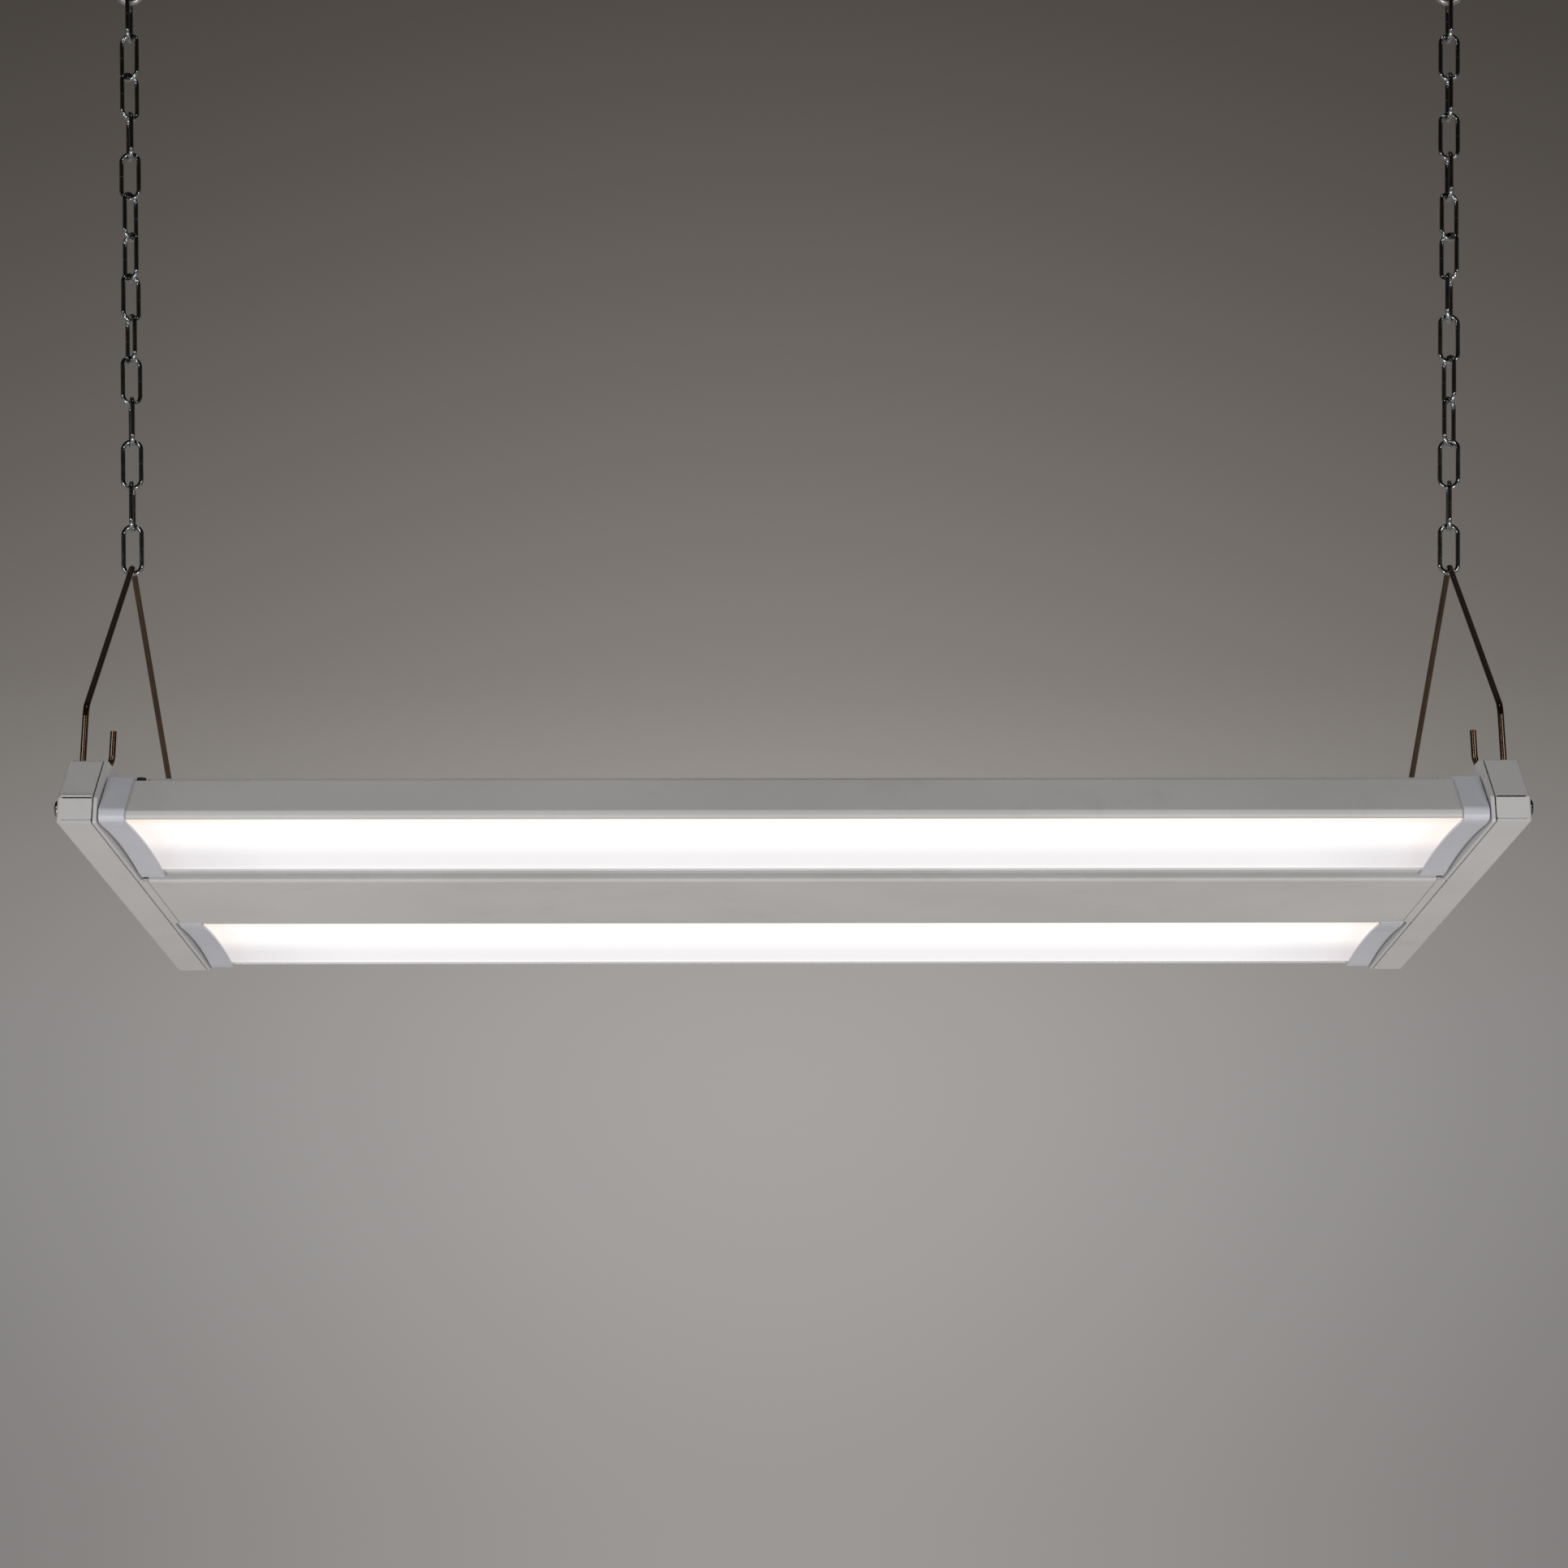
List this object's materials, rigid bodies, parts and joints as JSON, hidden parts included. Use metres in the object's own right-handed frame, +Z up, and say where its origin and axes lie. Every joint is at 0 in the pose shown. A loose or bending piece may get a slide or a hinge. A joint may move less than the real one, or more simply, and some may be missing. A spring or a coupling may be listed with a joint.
{
  "type": "hanging grow lamp",
  "caption": "Flat LED grow lamp of two long light bars in a folded steel frame, hung at each end from a wire V and a link chain on a ceiling screw hook.",
  "frame": {"origin": "on the ceiling plane, halfway between the two ceiling screw hooks; the lamp hangs below it", "axes": "+X along the lamp to its right end, +Y across the lamp to its rear bar, +Z up into the ceiling"},
  "size_m": [0.6806, 0.288, 0.5116],
  "materials": {
    "paint": "satin warm white powder coat",
    "cap": "cool white moulded plastic",
    "lens": "frosted white diffuser",
    "chain": "bright plated steel",
    "zinc": "zinc-plated steel",
    "hanger_wire": "dark browned steel wire",
    "screw": "dark chromed steel",
    "board": "white-coated aluminium board",
    "chip": "yellow phosphor chips",
    "lead": "black insulated lead",
    "grommet": "black rubber",
    "driver_case": "plain sheet case",
    "inlet": "black moulded plastic",
    "blade": "nickel-plated brass"
  },
  "bodies": {
    "ceiling": {"left_ceiling_hook": "zinc", "right_ceiling_hook": "zinc"},
    "left_top_link": {"left_link_14": "chain"},
    "left_chain": {"left_link_02": "chain", "left_link_03": "chain", "left_link_04": "chain", "left_link_05": "chain", "left_link_06": "chain", "left_link_07": "chain", "left_link_08": "chain", "left_link_09": "chain", "left_link_10": "chain", "left_link_11": "chain", "left_link_12": "chain", "left_link_13": "chain"},
    "left_bottom_link": {"left_link_01": "chain"},
    "right_top_link": {"right_link_14": "chain"},
    "right_chain": {"right_link_02": "chain", "right_link_03": "chain", "right_link_04": "chain", "right_link_05": "chain", "right_link_06": "chain", "right_link_07": "chain", "right_link_08": "chain", "right_link_09": "chain", "right_link_10": "chain", "right_link_11": "chain", "right_link_12": "chain", "right_link_13": "chain"},
    "right_bottom_link": {"right_link_01": "chain"},
    "lamp": {"left_hanger": "hanger_wire", "left_end_channel": "paint", "left_end_plate": "paint", "right_hanger": "hanger_wire", "right_end_channel": "paint", "right_end_plate": "paint", "channel_screws": "screw", "top_screws": "screw", "front_housing": "paint", "front_lens": "lens", "front_led_board": "board", "front_led_chips": "chip", "front_lead": "lead", "front_left_cap": "cap", "front_right_cap": "cap", "rear_housing": "paint", "rear_lens": "lens", "rear_led_board": "board", "rear_led_chips": "chip", "rear_lead": "lead", "rear_left_cap": "cap", "rear_right_cap": "cap", "center_tray": "paint", "top_cover": "paint", "led_driver": "driver_case", "power_inlet": "inlet", "inlet_blades": "blade", "lead_grommets": "grommet", "inlet_lead": "lead"}
  },
  "joints": [
    {"name": "fore_aft_swing", "type": "hinge", "parent": "ceiling", "child": "left_top_link", "pos_m": [-0.33191, 0, -0.02212], "axis": [1, 0, 0], "range_deg": [-20, 20]},
    {"name": "right_fore_aft_swing", "type": "hinge", "parent": "ceiling", "child": "right_top_link", "pos_m": [0.33191, 0, -0.02212], "axis": [1, 0, 0], "range_deg": [-20, 20]},
    {"name": "side_swing", "type": "hinge", "parent": "left_top_link", "child": "left_chain", "pos_m": [-0.33065, 0, -0.04329], "axis": [0, 1, 0], "range_deg": [-8, 8]},
    {"name": "right_side_swing", "type": "hinge", "parent": "right_top_link", "child": "right_chain", "pos_m": [0.33065, 0, -0.04329], "axis": [0, 1, 0], "range_deg": [-8, 8]},
    {"name": "left_link_level", "type": "hinge", "parent": "left_chain", "child": "left_bottom_link", "pos_m": [-0.31514, 0, -0.30443], "axis": [0, 1, 0], "range_deg": [-8.6, 8.6]},
    {"name": "right_link_level", "type": "hinge", "parent": "right_chain", "child": "right_bottom_link", "pos_m": [0.31514, 0, -0.30443], "axis": [0, 1, 0], "range_deg": [-8.6, 8.6]},
    {"name": "lamp_rock", "type": "hinge", "parent": "left_bottom_link", "child": "lamp", "pos_m": [-0.31384, 0, -0.32619], "axis": [1, 0, 0], "range_deg": [-20, 20]}
  ],
  "couplings": [
    {"joint": "right_fore_aft_swing", "follows": "fore_aft_swing", "ratio": 1},
    {"joint": "right_side_swing", "follows": "side_swing", "ratio": 1},
    {"joint": "left_link_level", "follows": "side_swing", "ratio": -1.0492},
    {"joint": "right_link_level", "follows": "side_swing", "ratio": -1.0492}
  ]
}
